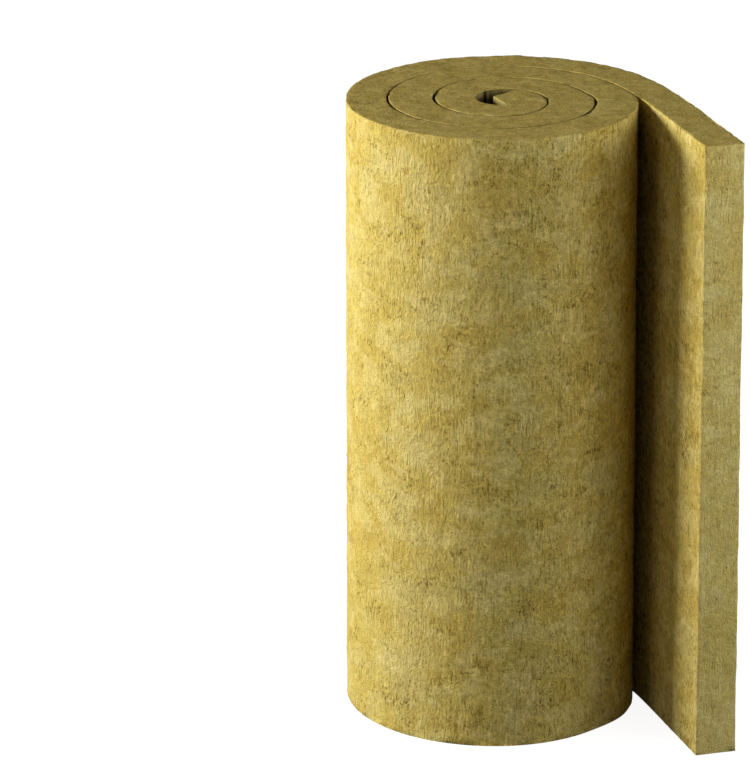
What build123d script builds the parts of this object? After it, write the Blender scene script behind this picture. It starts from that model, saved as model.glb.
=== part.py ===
from build123d import *
import os

# Roll of stone wool insulation, standing on a cut end, with the outer end of its mat laid open as a tail.
# The whole roll is one mat of even thickness. It is wound in quarter turns about the four corners of a
# small square, each quarter one step wider than the one inside it, so that the turns lie side by side.
# The origin is on the winding axis, on the floor, with +Z up. Angles are in degrees from +X.

# Mat
mat_width = 1000.0  # trade width of the mat, which is the height of the standing roll
mat_thickness = 63.0
seam_gap = 4.0  # gap left between one turn and the next

# Winding
fold_radius = 6.0  # inside radius of the tightest bend, where the mat turns round its own inner end
full_quarters = 12  # quarter turns inside the last one, which the loose end cuts short
departure_angle = 16.5  # where the loose end leaves the roll
tail_length = 331.0  # straight length of the loose end

# Inner end of the mat, a tongue that the first turn presses thin beside the open eye
crease_angle = -56.0  # where the inner end meets the first turn, about the centre of that quarter
tongue_end_width = 48.0  # what is left of the thickness at the inner cut end
tongue_end_angle = 115.0  # direction of the inner cut end, from the crease
tongue_back_angle = 41.0  # direction of the tongue's back, from its tip to the winding
tongue_shoulder_radius = 18.0  # bend between the tongue's back and the winding

# Worked out from the sizes above
quarter_angle = 90.0
quarters_per_turn = 4
quarter_step = (mat_thickness + seam_gap) / quarters_per_turn


def toward(angle):
    """Unit vector along the floor."""
    return Vector(1, 0).rotate(Axis.Z, angle)


def centre(quarter):
    """Corner of the small square that a quarter turn is wound about, counted from the middle outwards."""
    corner = Vector(quarter_step, -quarter_step) / 2
    return corner.rotate(Axis.Z, -quarter_angle * quarter)


def outer_radius(quarter):
    return mat_thickness + fold_radius + quarter_step * quarter


def inner_radius(quarter):
    return outer_radius(quarter) - mat_thickness


def first_angle(quarter):
    """Outer end of a quarter turn. Each quarter lies clockwise of the one inside it."""
    return -quarter_angle * quarter


def last_angle(quarter):
    return first_angle(quarter) + quarter_angle


def face_arc(quarter, radius, start, end):
    """Stretch of one face of the mat, from one angle to another about the centre of its quarter."""
    return CenterArc(centre(quarter), radius, start, end - start)


def tongue():
    """Inner cut end and back of the tongue, from the crease to the winding."""
    crease = centre(1) + toward(crease_angle) * inner_radius(1)
    tip = crease + toward(tongue_end_angle) * tongue_end_width
    innermost_face = face_arc(0, outer_radius(0), first_angle(0), last_angle(0))
    return Line(crease, tip), IntersectingLine(tip, toward(tongue_back_angle), innermost_face)


def winding(radius, start_quarter, start_angle):
    """One face of the wound mat as a run of arcs, from a start near the middle to where the tail leaves."""
    leaving_angle = first_angle(full_quarters) + departure_angle
    arcs = []
    for quarter in range(start_quarter, full_quarters + 1):
        start = start_angle if quarter == start_quarter else last_angle(quarter)
        end = leaving_angle if quarter == full_quarters else first_angle(quarter)
        arcs.append(face_arc(quarter, radius(quarter), start, end))
    return arcs


def tail(outer_start, inner_start):
    """Straight loose end: its outer face, square-cut end and inner face."""
    run = toward(departure_angle - quarter_angle) * tail_length
    outer_corner = outer_start + run
    inner_corner = inner_start + run
    return [
        Line(outer_start, outer_corner),
        Line(outer_corner, inner_corner),
        Line(inner_corner, inner_start),
    ]


def mat_section():
    """Outline of the rolled mat seen from above, as one closed face."""
    end_line, back_line = tongue()
    shoulder = back_line @ 1
    spoke = shoulder - centre(0)
    shoulder_angle = toward(0).get_signed_angle(spoke, Vector(0, 0, 1))
    outer = winding(outer_radius, 0, shoulder_angle)
    inner = winding(inner_radius, 1, crease_angle)
    loose_end = tail(outer[-1] @ 1, inner[-1] @ 1)
    sharp = make_face([*outer, *loose_end, *inner, end_line, back_line])
    return fillet(sharp.vertices().sort_by_distance(shoulder)[0], tongue_shoulder_radius)


section = mat_section()
wool_mat = extrude(section, mat_width, dir=(0, 0, 1))
print("mat length, mm:", round(section.area / mat_thickness))
print("volume, mm3:", round(wool_mat.volume))

os.makedirs("parts", exist_ok=True)
export_step(wool_mat, "parts/wool_mat.step")
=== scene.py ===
import math

import bmesh
import bpy
import numpy as np
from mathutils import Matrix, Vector


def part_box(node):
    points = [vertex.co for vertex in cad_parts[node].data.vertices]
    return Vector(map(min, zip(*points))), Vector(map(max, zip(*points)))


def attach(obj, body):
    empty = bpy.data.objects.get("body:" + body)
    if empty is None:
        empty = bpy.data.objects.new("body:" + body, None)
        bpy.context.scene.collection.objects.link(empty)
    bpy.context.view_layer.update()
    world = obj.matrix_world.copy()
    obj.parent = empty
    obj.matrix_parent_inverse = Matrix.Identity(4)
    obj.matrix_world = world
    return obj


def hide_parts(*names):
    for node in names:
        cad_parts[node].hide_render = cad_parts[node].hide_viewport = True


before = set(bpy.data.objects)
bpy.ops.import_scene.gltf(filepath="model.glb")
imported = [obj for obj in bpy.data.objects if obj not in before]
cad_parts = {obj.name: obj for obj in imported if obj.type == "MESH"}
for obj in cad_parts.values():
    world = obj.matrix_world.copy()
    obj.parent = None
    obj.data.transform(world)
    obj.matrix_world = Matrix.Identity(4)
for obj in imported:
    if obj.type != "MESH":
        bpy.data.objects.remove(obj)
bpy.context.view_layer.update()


# Wool mat: one mat of felted stone wool, wound up on itself round a small open eye, its outer end left loose.
# The wool is blown into a fleece, pressed to one thickness and cured with a little binder, and its edges are
# sawn square. Nothing holds the roll together but the grip of the wool.
mat_bottom, mat_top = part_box("wool_mat")
mat_width = mat_top.z - mat_bottom.z
mat_thickness = 0.063
seam_gap = 0.004
fold_radius = 0.006
full_quarters = 12
departure_angle = math.radians(16.5)
tail_length = 0.331
crease_angle = math.radians(-56.0)
shoulder_angle = math.radians(71.8)
tongue_end_width = 0.048
tongue_end_angle = math.radians(115.0)
rim_radius = 0.0005
column_step = 0.0045  # width of the mesh's columns, about a third of a furrow
row_step = 0.008
first_turn_rows = 14
innermost_turn_rows = 15
tongue_back_rows = 11
rounding_passes = 6
rounded_rows = 3  # rows that are rounded off on each side of the tongue's shoulder
same_place = 1e-5  # points nearer to each other than this are one
sharp_angle = math.radians(50.0)
flat_limit = 0.3  # where a face's normal rises or falls more than this, the face is on a sawn edge
open_radius = 0.2045  # upright faces that show from outside lie further than this from the axis
eye_radius = 0.06  # the walls of the seam lie further than this from the axis

quarter_turn = math.radians(90.0)
quarter_step = (mat_thickness + seam_gap) / 4
tail_run = Vector((math.sin(departure_angle), -math.cos(departure_angle), 0.0))


def toward(angle):
    """Unit vector along the floor."""
    return Vector((math.cos(angle), math.sin(angle), 0.0))


def winding_centre(quarter):
    """Corner of the small square that a quarter turn is wound about, counted from the middle outwards."""
    return toward(-math.radians(45.0) - quarter_turn * quarter) * quarter_step / math.sqrt(2.0)


def outer_radius(quarter):
    """Radius of the mat's outer face on a quarter turn."""
    return mat_thickness + fold_radius + quarter_step * quarter


def select(piece, chosen, kind="edges"):
    """In edit mode, select only the edges or faces that pass a test."""
    bpy.ops.mesh.select_all(action="DESELECT")
    edited = bmesh.from_edit_mesh(piece.data)
    for element in getattr(edited, kind):
        if chosen(element):
            element.select_set(True)
    bmesh.update_edit_mesh(piece.data)


# The loose tail is a flat grid lying on the floor plan, and the winding is spun on from its inner end.
tail_out = toward(departure_angle)
leaving_point = winding_centre(full_quarters) + tail_out * (outer_radius(full_quarters) - mat_thickness / 2)
bpy.ops.object.select_all(action="DESELECT")
bpy.ops.mesh.primitive_grid_add(
    x_subdivisions=round(mat_thickness / column_step),
    y_subdivisions=round(tail_length / column_step),
    size=1.0,
    location=leaving_point + tail_run * tail_length / 2,
    rotation=(0.0, 0.0, departure_angle),
)
wool_mat = bpy.context.object
wool_mat.name = "wool_mat_felt"
wool_mat.scale = (mat_thickness, tail_length, 1.0)
bpy.ops.object.transform_apply(location=True, rotation=True, scale=True)
bpy.ops.object.mode_set(mode="EDIT")
bpy.ops.mesh.select_mode(type="EDGE")
select(wool_mat, lambda edge: all(
    abs((v.co - leaving_point).dot(tail_run)) < same_place for v in edge.verts))
for quarter in range(full_quarters, 0, -1):
    turn = quarter_turn
    if quarter == full_quarters:
        turn = quarter_turn - departure_angle
    if quarter == 1:
        turn = crease_angle + quarter_turn
    bpy.ops.mesh.spin(
        steps=round(outer_radius(quarter) * turn / column_step),
        angle=-turn,  # the operator counts clockwise turns as positive
        center=winding_centre(quarter),
        axis=(0.0, 0.0, 1.0),
    )

# The inner end is folded in as a tongue: its rows fan out from the pressed end face to the round of the
# first turn.
crease = winding_centre(1) + toward(crease_angle) * (outer_radius(1) - mat_thickness)
tip = crease + toward(tongue_end_angle) * tongue_end_width
shoulder = winding_centre(0) + toward(shoulder_angle) * outer_radius(0)
first_turn = np.linspace(crease_angle, 0.0, first_turn_rows + 1)[1:]
innermost_turn = np.linspace(0.0, shoulder_angle, innermost_turn_rows + 1)[1:]
tongue_back = np.linspace(0.0, 1.0, tongue_back_rows + 1)[1:]
outline = [winding_centre(1) + toward(angle) * outer_radius(1) for angle in first_turn]
outline += [winding_centre(0) + toward(angle) * outer_radius(0) for angle in innermost_turn]
outline += [shoulder.lerp(tip, share) for share in tongue_back]
corner = first_turn_rows + innermost_turn_rows - 1
for _ in range(rounding_passes):
    for k in range(corner - rounded_rows, corner + rounded_rows + 1):
        outline[k] = outline[k].lerp((outline[k - 1] + outline[k + 1]) / 2, 0.5)
row_start = crease
for k, outer_point in enumerate(outline):
    bpy.ops.mesh.extrude_region_move()
    edited = bmesh.from_edit_mesh(wool_mat.data)
    row = sorted((v for v in edited.verts if v.select), key=lambda v: (v.co - row_start).length)
    row_start = crease.lerp(tip, (k + 1) / len(outline))
    for place, vertex in enumerate(row):
        vertex.co = row_start.lerp(outer_point, place / (len(row) - 1))
    bmesh.update_edit_mesh(wool_mat.data)
bpy.ops.mesh.select_all(action="SELECT")
bpy.ops.mesh.remove_doubles(threshold=same_place)
bpy.ops.mesh.select_all(action="SELECT")
bpy.ops.mesh.extrude_region_move(TRANSFORM_OT_translate={"value": (0.0, 0.0, mat_width)})
bpy.ops.mesh.select_all(action="SELECT")
bpy.ops.mesh.normals_make_consistent(inside=False)


def is_rim(edge):
    """An edge where the mat's faces and sawn ends meet at a sharp corner that bulges out."""
    return len(edge.link_faces) == 2 and edge.is_convex and edge.calc_face_angle() > sharp_angle


select(wool_mat, is_rim)
bpy.ops.mesh.bevel(offset=rim_radius, segments=2, profile=0.5, affect="EDGES")


def is_open_upright(edge):
    """An upright edge on a face of the mat that can be seen: outside the last turn, or on the tail."""
    low, high = sorted(v.co.z for v in edge.verts)
    middle = (edge.verts[0].co + edge.verts[1].co) / 2
    return high - low > mat_width / 2 and math.hypot(middle.x, middle.y) > open_radius


select(wool_mat, is_open_upright)
bpy.ops.mesh.subdivide(number_cuts=round(mat_width / row_step) - 1)


def is_sawn(face):
    """A face of the two sawn edges, on which the roll stands and which it shows on top."""
    return abs(face.normal.z) > flat_limit


def is_outer_end(face):
    """A face of the mat's outer end, which the loose tail finishes in."""
    past = (face.calc_center_median() - leaving_point).dot(tail_run) - tail_length
    return abs(past) < rim_radius / 5


def is_inside(face):
    """An upright face inside the roll: a wall of the seam, of the eye, or the mat's inner end."""
    return abs(face.normal.z) <= flat_limit and face.calc_center_median().to_2d().length < open_radius


def linear(colour):
    """An sRGB hex colour as linear RGBA."""
    channels = [int(colour[k:k + 2], 16) / 255 for k in (1, 3, 5)]
    return [c / 12.92 if c <= 0.04045 else ((c + 0.055) / 1.055) ** 2.4 for c in channels] + [1.0]


def add_node(tree, kind, inputs=None, **settings):
    """Add a node with its settings, and fill or link its inputs."""
    node = tree.nodes.new(kind)
    for name, value in settings.items():
        setattr(node, name, value)
    for socket, value in (inputs or {}).items():
        if isinstance(value, bpy.types.NodeSocket):
            tree.links.new(value, node.inputs[socket])
        else:
            node.inputs[socket].default_value = value
    return node


# Stone wool as the eye meets it: a matt mass of short strands along the mat's width with a sandy grain,
# clouds of golden and straw colour where the binder cured unevenly, ribbed and flaked patches, and herds of
# small pits. Sizes are in millimetres. They are those of strands and tufts, as a fibre is too fine to show.
MILLIMETRE = 0.001
patch_size = 52
clump_size = 12
tuft_size = 7.5
rib_size = 5
grain_size = 2.6
cloud_pitch = 1.4  # a pattern with a pitch over 1 is flattened, and one under 1 is drawn out along the width
strand_pitch = 1 / 1.8
rib_pitch = 1 / 12
pit_pitch = 0.55
tuft_pitch = 1 / 1.3
strand_weight = 0.7  # weights in the sum that makes the height, where the grain counts as 1
clump_weight = 0.6
flake_weight = 0.06
pit_weight = -0.4
herd_weight = 0.5  # how strongly the pits keep to their patches
flake_cover = 0.06  # how far a flake hides the pits under it
skin_cover = 0.35
raking_shade_start = -0.15  # painted raking shade: the flecks are weakest on this side of the roll and strongest from the next place on
raking_shade_full = -0.01
warm_darks = (0.85, 1.0, 1.3)  # how strongly a fleck changes red, green and blue


def wool_material(name, tones, skin_tone, pit_tone, cloud_size, strand_size, pit_size, pit_limit, mottle_and_hollow_shade,
                  relief, tuft_relief=0.0, painted_raking_speckle=0.0):
    """Matt stone wool in three tones, a pale skin on its flakes and dark pits. Sizes are in millimetres."""
    material = bpy.data.materials.new(name)
    material.use_nodes = True
    tree = material.node_tree
    shader = tree.nodes["Principled BSDF"]
    shader.inputs["Roughness"].default_value = 0.95
    shader.inputs["Specular IOR Level"].default_value = 0.1
    place = add_node(tree, "ShaderNodeTexCoord").outputs["Object"]

    cloud_place = add_node(tree, "ShaderNodeMapping", {"Vector": place, "Scale": (1.0, 1.0, cloud_pitch)})
    clouds = add_node(tree, "ShaderNodeTexNoise", {
        "Vector": cloud_place.outputs[0], "Scale": 1 / (cloud_size * MILLIMETRE), "Detail": 5.0,
        "Roughness": 0.6})
    tone = add_node(tree, "ShaderNodeValToRGB", {"Fac": clouds.outputs["Fac"]})
    tone.color_ramp.elements[0].position = 0.36
    tone.color_ramp.elements[0].color = linear(tones[0])
    tone.color_ramp.elements[1].position = 0.64
    tone.color_ramp.elements[1].color = linear(tones[2])
    tone.color_ramp.elements.new(0.5).color = linear(tones[1])

    # Three patch maps in one noise: herds of pits, ribbed stretches and flakes of pale skin.
    patches = add_node(tree, "ShaderNodeTexNoise", {
        "Vector": cloud_place.outputs[0], "Scale": 1 / (patch_size * MILLIMETRE), "Detail": 5.0,
        "Roughness": 0.6, "Distortion": 0.3})
    patch = add_node(tree, "ShaderNodeSeparateColor", {"Color": patches.outputs["Color"]})
    ribbed = add_node(tree, "ShaderNodeMapRange", {
        "Value": patch.outputs["Green"], "From Min": 0.42, "From Max": 0.62, "To Min": 0.1, "To Max": 0.8})
    flaked = add_node(tree, "ShaderNodeMapRange", {
        "Value": patch.outputs["Blue"], "From Min": 0.5, "From Max": 0.58}, interpolation_type="SMOOTHSTEP")

    strand_place = add_node(tree, "ShaderNodeMapping", {"Vector": place, "Scale": (1.0, 1.0, strand_pitch)})
    strands = add_node(tree, "ShaderNodeTexNoise", {
        "Vector": strand_place.outputs[0], "Scale": 1 / (strand_size * MILLIMETRE), "Detail": 3.0,
        "Roughness": 0.7})
    grain = add_node(tree, "ShaderNodeTexNoise", {
        "Vector": place, "Scale": 1 / (grain_size * MILLIMETRE), "Detail": 2.0, "Roughness": 0.8})
    clumps = add_node(tree, "ShaderNodeTexNoise", {
        "Vector": place, "Scale": 1 / (clump_size * MILLIMETRE), "Detail": 2.0, "Roughness": 0.6,
        "Distortion": 0.5})
    rib_place = add_node(tree, "ShaderNodeMapping", {"Vector": place, "Scale": (1.0, 1.0, rib_pitch)})
    ribs = add_node(tree, "ShaderNodeTexNoise", {
        "Vector": rib_place.outputs[0], "Scale": 1 / (rib_size * MILLIMETRE), "Detail": 1.0})
    rib = add_node(tree, "ShaderNodeMath", {0: ribs.outputs["Fac"], 1: 0.5}, operation="SUBTRACT")
    beside_groove = add_node(tree, "ShaderNodeMath", {0: rib.outputs[0]}, operation="ABSOLUTE")
    groove = add_node(tree, "ShaderNodeMapRange", {
        "Value": beside_groove.outputs[0], "From Max": 0.07, "To Min": -0.24, "To Max": 0.08},
        interpolation_type="SMOOTHSTEP")
    height = add_node(tree, "ShaderNodeMath", {
        0: strands.outputs["Fac"], 1: strand_weight, 2: grain.outputs["Fac"]}, operation="MULTIPLY_ADD")
    height = add_node(tree, "ShaderNodeMath", {
        0: clumps.outputs["Fac"], 1: clump_weight, 2: height.outputs[0]}, operation="MULTIPLY_ADD")
    height = add_node(tree, "ShaderNodeMath", {
        0: groove.outputs[0], 1: ribbed.outputs[0], 2: height.outputs[0]}, operation="MULTIPLY_ADD")
    height = add_node(tree, "ShaderNodeMath", {
        0: flaked.outputs[0], 1: flake_weight, 2: height.outputs[0]}, operation="MULTIPLY_ADD")

    pit_place = add_node(tree, "ShaderNodeMapping", {"Vector": place, "Scale": (1.0, 1.0, pit_pitch)})
    pits = add_node(tree, "ShaderNodeTexNoise", {
        "Vector": pit_place.outputs[0], "Scale": 1 / (pit_size * MILLIMETRE), "Detail": 3.0,
        "Roughness": 0.7})
    herded = add_node(tree, "ShaderNodeMath", {
        0: patch.outputs["Red"], 1: herd_weight, 2: pits.outputs["Fac"]}, operation="MULTIPLY_ADD")
    herded = add_node(tree, "ShaderNodeMath", {
        0: flaked.outputs[0], 1: -flake_cover, 2: herded.outputs[0]}, operation="MULTIPLY_ADD")
    pit = add_node(tree, "ShaderNodeMapRange", {
        "Value": herded.outputs[0], "From Min": pit_limit, "From Max": pit_limit + 0.28, "To Max": 0.9},
        interpolation_type="SMOOTHSTEP")
    height = add_node(tree, "ShaderNodeMath", {
        0: pit.outputs[0], 1: pit_weight, 2: height.outputs[0]}, operation="MULTIPLY_ADD")

    # Painted shade: the flecks grow stronger on the right half of the roll, at the front and beside the tail,
    # standing in for the relief shade that the low key light from the left rakes out of the felt there.
    side = add_node(tree, "ShaderNodeSeparateXYZ", {"Vector": place})
    painted_raking_contrast = add_node(tree, "ShaderNodeMapRange", {
        "Value": side.outputs["X"], "From Min": raking_shade_start, "From Max": raking_shade_full, "To Min": mottle_and_hollow_shade,
        "To Max": mottle_and_hollow_shade * (1.0 + painted_raking_speckle)}, interpolation_type="SMOOTHSTEP")
    # Partly painted shade: the colour darkens where the height is low. Part of this is the wool's own mottle
    # and part is shade painted into its hollows.
    level = add_node(tree, "ShaderNodeMapRange", {
        "Value": height.outputs[0], "From Min": 0.85, "From Max": 1.45, "To Min": -1.0}, clamp=False)
    fleck = add_node(tree, "ShaderNodeMath", {
        0: level.outputs[0], 1: painted_raking_contrast.outputs[0]}, operation="MULTIPLY")
    # Light is scattered between the fibres before it leaves a hollow, so dark flecks are warmer.
    shade = add_node(tree, "ShaderNodeVectorMath", {
        0: fleck.outputs[0], 1: warm_darks, 2: (1.0, 1.0, 1.0)}, operation="MULTIPLY_ADD")
    skin = add_node(tree, "ShaderNodeMath", {0: flaked.outputs[0], 1: skin_cover}, operation="MULTIPLY")
    skinned = add_node(tree, "ShaderNodeMix", {
        0: skin.outputs[0], 6: tone.outputs["Color"], 7: linear(skin_tone)}, data_type="RGBA")
    mottled_and_hollow_shaded = add_node(tree, "ShaderNodeMix", {
        0: 1.0, 6: skinned.outputs[2], 7: shade.outputs[0]}, data_type="RGBA", blend_type="MULTIPLY")
    colour = add_node(tree, "ShaderNodeMix", {
        0: pit.outputs[0], 6: mottled_and_hollow_shaded.outputs[2], 7: linear(pit_tone)}, data_type="RGBA")
    tree.links.new(colour.outputs[2], shader.inputs["Base Color"])

    # Tufts as wide as a pencil catch the light that rakes over the face. The finer strands are bumps on them.
    tuft_place = add_node(tree, "ShaderNodeMapping", {"Vector": place, "Scale": (1.0, 1.0, tuft_pitch)})
    tufts = add_node(tree, "ShaderNodeTexNoise", {
        "Vector": tuft_place.outputs[0], "Scale": 1 / (tuft_size * MILLIMETRE), "Detail": 1.0,
        "Roughness": 0.6})
    tufted = add_node(tree, "ShaderNodeBump", {
        "Strength": 1.0, "Distance": tuft_relief * MILLIMETRE, "Height": tufts.outputs["Fac"]})
    bump = add_node(tree, "ShaderNodeBump", {
        "Strength": 1.0, "Distance": relief * MILLIMETRE, "Height": height.outputs[0],
        "Normal": tufted.outputs[0]})
    tree.links.new(bump.outputs[0], shader.inputs["Normal"])
    return material


# The felted face has the strongest colour, and a nap of tufts that the light rakes over. Its flecks are
# painted stronger on the right half of the roll, as raking shade.
felt = wool_material(
    "stone_wool_felted_face", ("#D9BC5E", "#DEC468", "#E0CA78"), "#E6D28A", "#80652F", cloud_size=95,
    strand_size=4.8, pit_size=4.0, pit_limit=0.78, mottle_and_hollow_shade=0.25, relief=2.2, tuft_relief=1.2, painted_raking_speckle=0.75)
# The sawn edge shows the mat's layers end on, with a finer and closer grain.
sawn = wool_material(
    "stone_wool_sawn_edge", ("#CCB059", "#D0B45E", "#D3B965"), "#D4BB69", "#725D28", cloud_size=40,
    strand_size=3.6, pit_size=4.0, pit_limit=0.82, mottle_and_hollow_shade=0.42, relief=1.0)
# The outer end is a fresh cut through the mat, and its wool is paler.
cut_end = wool_material(
    "stone_wool_cut_end", ("#E8CE74", "#ECD47D", "#EFD987"), "#F2DF94", "#846F3A", cloud_size=60,
    strand_size=5.0, pit_size=5.0, pit_limit=0.82, mottle_and_hollow_shade=0.3, relief=1.8)
# Inside the roll the faces are pressed together. Their dark, dull tones are painted shade, standing for the
# shade that falls in the seams and the eye and on the mat's inner end.
inside_painted_shade = wool_material(
    "stone_wool_inside_painted_shade", ("#95834A", "#9B8950", "#A19057"), "#A7975E", "#54441F", cloud_size=40,
    strand_size=5.0, pit_size=5.0, pit_limit=0.78, mottle_and_hollow_shade=0.3, relief=1.8)
for material in (felt, sawn, cut_end, inside_painted_shade):
    wool_mat.data.materials.append(material)
bpy.ops.mesh.select_mode(type="FACE")
for slot, chosen in enumerate((is_sawn, is_outer_end, is_inside), start=1):
    select(wool_mat, chosen, kind="faces")
    wool_mat.active_material_index = slot
    bpy.ops.object.material_slot_assign()
bpy.ops.object.mode_set(mode="OBJECT")

# The roll is soft: it is pressed in where the tail leaves it, and its foot and the tail's lean out beside
# the gap.
press_depth = 0.0088
press_before = 0.050  # the deepest place, counted back round the roll from where the tail leaves
press_reach_round = 0.110
press_reach_tail = 0.087
press_reach_under = 0.050
press_inner_radius = 0.060
press_full_radius = 0.200
foot_lean = 0.0085
foot_inner_radius = 0.130
foot_start = math.radians(-50.0)  # the foot leans out from here round to its end, and fully in between
foot_full_start = math.radians(-22.0)
foot_full_end = math.radians(-8.0)
foot_end = math.radians(14.0)
tail_lean = 0.008
tail_spread = 0.003


def eased(values, start, end):
    """Shares that climb smoothly from 0 at the start to 1 at the end."""
    share = ((values - start) / (end - start)).clip(0.0, 1.0)
    return share ** 2 * (3.0 - 2.0 * share)


mesh = wool_mat.data
points = np.empty(len(mesh.vertices) * 3)
mesh.vertices.foreach_get("co", points)
points = points.reshape(-1, 3)
from_centre = points[:, :2] - winding_centre(full_quarters).to_2d()
radius = np.hypot(from_centre[:, 0], from_centre[:, 1])
angle = np.arctan2(from_centre[:, 1], from_centre[:, 0])
along = (points - leaving_point) @ np.array(tail_run)
across = (points - leaving_point) @ np.array(tail_out)
on_tail = (along > 0.0) & (np.abs(across) < mat_thickness / 2 + seam_gap / 4)
past_leaving = np.where(on_tail, along, (departure_angle - angle) * outer_radius(full_quarters))
past_deepest = past_leaving + press_before
reach = np.where(past_deepest < 0.0, press_reach_round, press_reach_tail)
depth = press_depth * np.exp(-(past_deepest / reach) ** 2)
is_under = ~on_tail & (past_leaving > 0.0)
depth *= np.where(is_under, np.exp(-(past_leaving / press_reach_under) ** 2), 1.0)
depth *= np.clip((radius - press_inner_radius) / (press_full_radius - press_inner_radius), 0.0, 1.0)
inward = np.where(on_tail[:, None], -np.array(tail_out.to_2d()), -from_centre / radius[:, None])
points[:, :2] += inward * depth[:, None]
low = 1.0 - points[:, 2] / mat_width
beside_gap = eased(angle, foot_start, foot_full_start) * eased(angle, foot_end, foot_full_end)
foot_share = beside_gap * eased(radius, foot_inner_radius, press_full_radius)
foot = foot_lean * foot_share * np.where(on_tail, 0.0, low)
points[:, :2] += from_centre / radius[:, None] * foot[:, None]
lean = (tail_lean + tail_spread * across / mat_thickness) * low
lean *= np.where(on_tail, (along / tail_length).clip(0.0, 1.0), 0.0)
points[:, :2] += np.array(tail_out.to_2d()) * lean[:, None]

# Inside the roll the springy wool swells into the seam, which almost closes at the back.
seam_swell = 0.0014
steep_enough = 0.15  # normals that lean sideways less than this are left alone
normals = np.empty(len(mesh.vertices) * 3)
mesh.vertex_normals.foreach_get("vector", normals)
sideways = normals.reshape(-1, 3)[:, :2]
steepness = np.hypot(sideways[:, 0], sideways[:, 1])
from_axis = np.hypot(points[:, 0], points[:, 1])
in_seam = (steepness > steep_enough) & (from_axis > eye_radius) & (from_axis < open_radius) & ~on_tail
swell = np.where(in_seam, seam_swell * np.sin(angle).clip(0.0, 1.0) ** 2, 0.0)
points[:, :2] += sideways / np.maximum(steepness, steep_enough)[:, None] * swell[:, None]

# The innermost turns are squeezed a little oval, narrower from side to side.
squeeze = 0.14
squeeze_full_radius = 0.045
squeeze_end_radius = 0.160
points[:, 0] *= 1.0 - squeeze * eased(from_axis, squeeze_end_radius, squeeze_full_radius)
mesh.vertices.foreach_set("co", points.ravel())
mesh.update()

# Felt is never flat: lumps a few fingers wide all over, upright furrows between the strands, and ragged rims.
lump_size = 0.050
lump_depth = 0.0025
furrow_width = 0.014
furrow_stretch = 5.0
furrow_depth = 0.0016
above_floor = wool_mat.vertex_groups.new(name="above_floor")
above_floor.add([v.index for v in mesh.vertices if v.co.z > rim_radius / 2], 1.0, "REPLACE")
reliefs = (
    ("lumps", lump_size, 1.0, lump_depth),
    ("furrows", furrow_width, furrow_stretch, furrow_depth),
)
for name, size, stretch, strength in reliefs:
    bpy.ops.object.empty_add(location=(0.0, 0.0, 0.0))
    pattern_place = bpy.context.object
    pattern_place.scale = (size, size, size * stretch)
    bpy.context.view_layer.update()
    pattern = bpy.data.textures.new(name, "CLOUDS")
    pattern.noise_scale = 1.0
    pattern.noise_depth = 2
    bpy.ops.object.select_all(action="DESELECT")
    bpy.context.view_layer.objects.active = wool_mat
    wool_mat.select_set(True)
    pushed = wool_mat.modifiers.new(name, "DISPLACE")
    pushed.texture = pattern
    pushed.texture_coords = "OBJECT"
    pushed.texture_coords_object = pattern_place
    pushed.strength = strength
    pushed.mid_level = 0.5
    pushed.vertex_group = above_floor.name
    bpy.ops.object.modifier_apply(modifier=name)
    bpy.data.objects.remove(pattern_place)
bpy.ops.object.shade_smooth()
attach(wool_mat, "root")
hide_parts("wool_mat")


# Loose fibres: wisps of stone wool that stand off the felt, lie on the sawn edge and fringe its rim. They are
# the wool itself, a few thousandths of a millimetre thick, and hang on by their roots. They are drawn as
# thick as a bundle so that they show.
felt_fibre_count = 6000
rim_fibre_count = 900
fibre_length_range = (0.005, 0.014)
fringe_length_range = (0.0015, 0.004)
fibre_radius_range = (0.00013, 0.00026)
fibre_root = 0.0006  # how deep a fibre is rooted in the felt
top_share = 0.3  # the sawn edge has fewer loose fibres than the felt, and shorter ones
top_length_share = 0.5
felt_stray = 0.3  # how far fibres stray from the mat's width, in radians
bend_spread = 0.25
felt_lift = 0.16  # the most that a fibre rises off the face, as a share of its length
fringe_lift = 0.5
upright_limit = 0.5  # where a face's normal rises less than this, the face is upright
level_limit = 0.8  # where it rises more than this, the face is level
rim_rise = 0.7  # normals on the rounded rim rise by about this much
rim_rise_range = 0.25
station_shares = (0.0, 0.35, 0.7, 1.0)
spokes = 3
draw = np.random.default_rng(11)
mesh.calc_loop_triangles()
corners = np.empty(len(mesh.loop_triangles) * 3, dtype=int)
mesh.loop_triangles.foreach_get("vertices", corners)
points = np.empty(len(mesh.vertices) * 3)
mesh.vertices.foreach_get("co", points)
mesh.vertex_normals.foreach_get("vector", normals)
points = points.reshape(-1, 3)
normals = normals.reshape(-1, 3)
triangle = points[corners.reshape(-1, 3)]
facing = np.cross(triangle[:, 1] - triangle[:, 0], triangle[:, 2] - triangle[:, 0])
area = np.linalg.norm(facing, axis=1) / 2
facing = facing / np.maximum(np.linalg.norm(facing, axis=1), 1e-12)[:, None]
middle = triangle.mean(axis=1)
on_side = (np.hypot(middle[:, 0], middle[:, 1]) > open_radius) & (np.abs(facing[:, 2]) < upright_limit)
on_top = facing[:, 2] > level_limit
chance = area * (on_side + top_share * on_top)
picked = draw.choice(len(area), felt_fibre_count, p=chance / chance.sum())
share = draw.dirichlet((1.0, 1.0, 1.0), felt_fibre_count)
from_origin = np.hypot(points[:, 0], points[:, 1])
on_rim = np.abs(normals[:, 2] - rim_rise) < rim_rise_range
on_rim &= (points[:, 2] > mat_width / 2) & (from_origin > open_radius)
rim_point = draw.choice(np.flatnonzero(on_rim), rim_fibre_count)
root = np.concatenate([(triangle[picked] * share[:, :, None]).sum(axis=1), points[rim_point]])
outward = np.concatenate([facing[picked], normals[rim_point]])
count = felt_fibre_count + rim_fibre_count
on_face = np.arange(count) < felt_fibre_count

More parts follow.
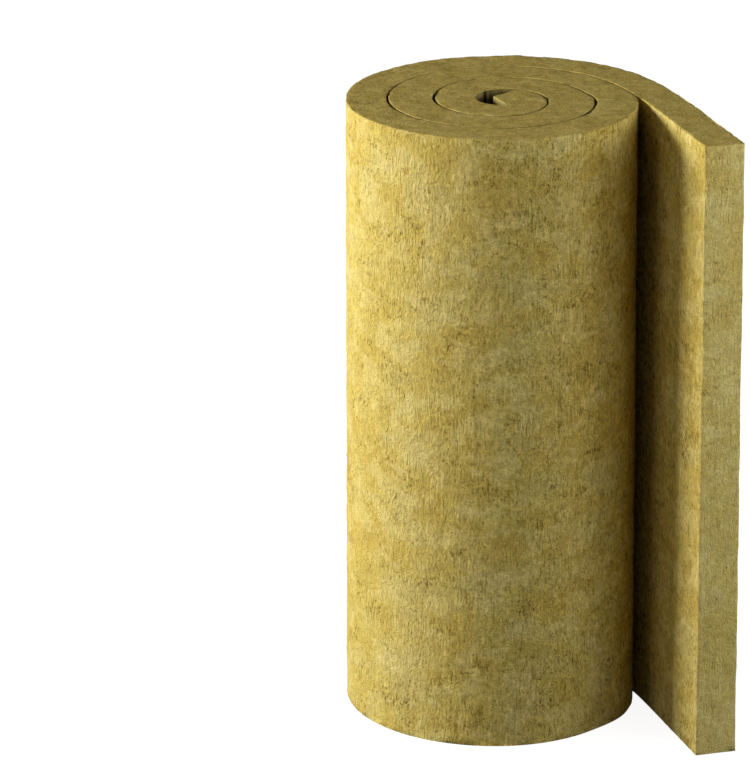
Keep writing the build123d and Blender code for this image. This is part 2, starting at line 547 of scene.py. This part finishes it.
# On the felt the fibres run along the mat's width, and elsewhere they lie any way.
upright = np.abs(outward[:, 2]) < upright_limit
width_way = np.where(upright[:, None], np.array([0.0, 0.0, 1.0]), np.array([1.0, 0.0, 0.0]))
width_way = width_way - outward * (width_way * outward).sum(axis=1)[:, None]
width_way /= np.linalg.norm(width_way, axis=1)[:, None]
side_way = np.cross(outward, width_way)
stray = draw.normal(0.0, felt_stray, count)
any_way = draw.uniform(0.0, 2 * math.pi, count)
turn = np.where(upright, stray, any_way)
turn += np.where(draw.random(count) < 0.5, math.pi, 0.0)
run = width_way * np.cos(turn)[:, None] + side_way * np.sin(turn)[:, None]
near_top = on_face & (root[:, 2] > mat_width - fibre_length_range[1]) & (run[:, 2] > 0.0)
near_floor = on_face & (root[:, 2] < fibre_length_range[1]) & (run[:, 2] < 0.0)
run = np.where((near_top | near_floor)[:, None], -run, run)
bend = np.cross(outward, run) * draw.normal(0.0, bend_spread, count)[:, None]
face_length = draw.uniform(*fibre_length_range, count)
fringe_length = draw.uniform(*fringe_length_range, count)
face_length = np.where(outward[:, 2] > upright_limit, face_length * top_length_share, face_length)
length = np.where(on_face, face_length, fringe_length)
face_lift = draw.uniform(0.0, felt_lift, count)
rim_lift = draw.uniform(0.0, fringe_lift, count)
lift = np.where(on_face, face_lift, rim_lift)
thickness = draw.uniform(*fibre_radius_range, count)
stations = []
for step in station_shares:
    path = run * step + bend * step ** 2 + outward * (lift * step)[:, None]
    stations.append(root + path * length[:, None] - outward * (fibre_root * (1.0 - step)))
across = np.cross(run, outward)
rings = []
for station in stations[1:-1]:
    for spoke in range(spokes):
        way = 2 * math.pi * spoke / spokes
        rings.append(station + (across * math.cos(way) + outward * math.sin(way)) * thickness[:, None])
fibre_points = np.stack([stations[0], *rings, stations[-1]], axis=1)
points_each = fibre_points.shape[1]
fibre_faces = []
for k in range(count):
    root_point = points_each * k
    tip_point = root_point + points_each - 1
    for spoke in range(spokes):
        near = root_point + 1 + spoke
        near_next = root_point + 1 + (spoke + 1) % spokes
        far = near + spokes
        far_next = near_next + spokes
        fibre_faces.append((root_point, near, near_next))
        fibre_faces.append((near_next, near, far, far_next))
        fibre_faces.append((tip_point, far_next, far))
fibre_mesh = bpy.data.meshes.new("loose_wool_fibres")
fibre_mesh.from_pydata(fibre_points.reshape(-1, 3).tolist(), [], fibre_faces)
fibres = bpy.data.objects.new("loose_wool_fibres", fibre_mesh)
bpy.context.scene.collection.objects.link(fibres)
bpy.ops.object.select_all(action="DESELECT")
bpy.context.view_layer.objects.active = fibres
fibres.select_set(True)
bpy.ops.object.mode_set(mode="EDIT")
bpy.ops.mesh.select_all(action="SELECT")
bpy.ops.mesh.normals_make_consistent(inside=False)
bpy.ops.object.mode_set(mode="OBJECT")
# A loose fibre has the felt's colour, and hardly any relief of its own.
fibres.data.materials.append(wool_material(
    "stone_wool_loose_fibre", ("#D8B858", "#DEC366", "#E1CB7B"), "#E8D48E", "#8A6E34", cloud_size=95,
    strand_size=4.8, pit_size=4.2, pit_limit=0.9, mottle_and_hollow_shade=0.2, relief=0.2))
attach(fibres, "root")


# Floor: a plain white studio floor that takes the roll's faint shadow and fades to pure white around it.
# It is painted board, and it throws only a little light back on to the roll.
floor_size = 40.0
floor_drop = 0.0005
shadow_radius = 0.35
white_radius = 1.1
shadow_white = 0.92


def seen_straight(tree):
    """1 for what is seen, also in a mirror or through glass, and 0 for light that falls on other things."""
    light_path = add_node(tree, "ShaderNodeLightPath")
    seen = add_node(tree, "ShaderNodeMath", {
        0: light_path.outputs["Is Camera Ray"], 1: light_path.outputs["Is Glossy Ray"]}, operation="MAXIMUM")
    seen = add_node(tree, "ShaderNodeMath", {
        0: seen.outputs[0], 1: light_path.outputs["Is Transmission Ray"]}, operation="MAXIMUM")
    return seen.outputs[0]


bpy.ops.object.select_all(action="DESELECT")
bpy.ops.mesh.primitive_plane_add(size=floor_size, location=(0.0, 0.0, -floor_drop))
bpy.ops.object.transform_apply(location=True, rotation=True, scale=True)
floor = bpy.context.object
floor.name = "studio_floor"
floor_paint = bpy.data.materials.new("white_studio_paint")
floor_paint.use_nodes = True
tree = floor_paint.node_tree
tree.nodes.remove(tree.nodes["Principled BSDF"])
painted = add_node(tree, "ShaderNodeBsdfDiffuse", {"Color": linear("#959595")})
unlit = add_node(tree, "ShaderNodeBsdfDiffuse", {"Color": linear("#464646")})
floor_place = add_node(tree, "ShaderNodeTexCoord")
away = add_node(tree, "ShaderNodeVectorMath", {0: floor_place.outputs["Object"]}, operation="LENGTH")
whiteness = add_node(tree, "ShaderNodeMapRange", {
    "Value": away.outputs["Value"], "From Min": shadow_radius, "From Max": white_radius,
    "To Min": shadow_white, "To Max": 1.0})
glow = add_node(tree, "ShaderNodeEmission", {"Color": linear("#FFFFFF"), "Strength": whiteness.outputs[0]})
lit = add_node(tree, "ShaderNodeAddShader", {0: painted.outputs[0], 1: glow.outputs[0]})
shown = add_node(tree, "ShaderNodeMixShader", {
    0: seen_straight(tree), 1: unlit.outputs[0], 2: lit.outputs[0]})
tree.links.new(shown.outputs[0], tree.nodes["Material Output"].inputs["Surface"])
floor.data.materials.append(floor_paint)


# Light: a key lamp low on the left, a soft box on the right, two weaker ones at the front and a faint sky.
# The one at the front right hangs higher, so that the roll darkens towards its foot.
sky_level = 0.037


def area_lamp(name, azimuth, elevation, distance, width, height, level, colour):
    """Lamp aimed at the roll. Azimuth counts to the left, and at level 1 a white card facing it is white."""
    data = bpy.data.lights.new(name, "AREA")
    data.shape = "RECTANGLE"
    data.size = width
    data.size_y = height
    data.energy = level * math.pi ** 2 * distance ** 2
    data.color = linear(colour)[:3]
    lamp = bpy.data.objects.new(name, data)
    bpy.context.scene.collection.objects.link(lamp)
    side = math.radians(azimuth)
    rise = math.radians(elevation)
    away = Vector((-math.sin(side) * math.cos(rise), -math.cos(side) * math.cos(rise), math.sin(rise)))
    lamp.location = Vector((0.0, 0.0, mat_width / 2)) + away * distance
    lamp.rotation_euler = away.to_track_quat("Z", "Y").to_euler()


area_lamp(
    "key_lamp", azimuth=86.5, elevation=18.0, distance=4.0, width=2.0, height=1.1, level=1.26,
    colour="#FEFFFC")
area_lamp(
    "right_soft_box", azimuth=-68.0, elevation=19.0, distance=2.5, width=1.2, height=0.9, level=0.33,
    colour="#FCFBF0")
area_lamp(
    "front_right_soft_box", azimuth=-46.0, elevation=27.0, distance=3.2, width=1.2, height=1.0, level=0.174,
    colour="#EFF5FF")
area_lamp(
    "front_left_soft_box", azimuth=48.0, elevation=12.0, distance=4.0, width=1.6, height=1.2, level=0.11,
    colour="#FFF9F0")

world = bpy.data.worlds.new("white_studio")
world.use_nodes = True
bpy.context.scene.world = world
tree = world.node_tree
seen = seen_straight(tree)
strength = add_node(tree, "ShaderNodeMapRange", {"Value": seen, "To Min": sky_level, "To Max": 1.0})
tint = add_node(tree, "ShaderNodeMix", {
    0: seen, 6: linear("#DCEEFF"), 7: linear("#FFFFFF")}, data_type="RGBA")
background = tree.nodes["Background"]
tree.links.new(tint.outputs[2], background.inputs["Color"])
tree.links.new(strength.outputs[0], background.inputs["Strength"])


# Camera: a long lens from the front, well above the roll's top and looking down on it.
camera_place = (-0.1985, -7.3739, 3.0617)
camera_pitch = math.radians(18.966)
camera_data = bpy.data.cameras.new("camera")
camera_data.lens = 228.56
camera_data.sensor_width = 36.0
camera_data.clip_end = 100.0
camera = bpy.data.objects.new("camera", camera_data)
bpy.context.scene.collection.objects.link(camera)
camera.location = camera_place
camera.rotation_euler = (quarter_turn - camera_pitch, 0.0, 0.0)
bpy.context.scene.camera = camera
bpy.context.scene.view_settings.view_transform = "Standard"
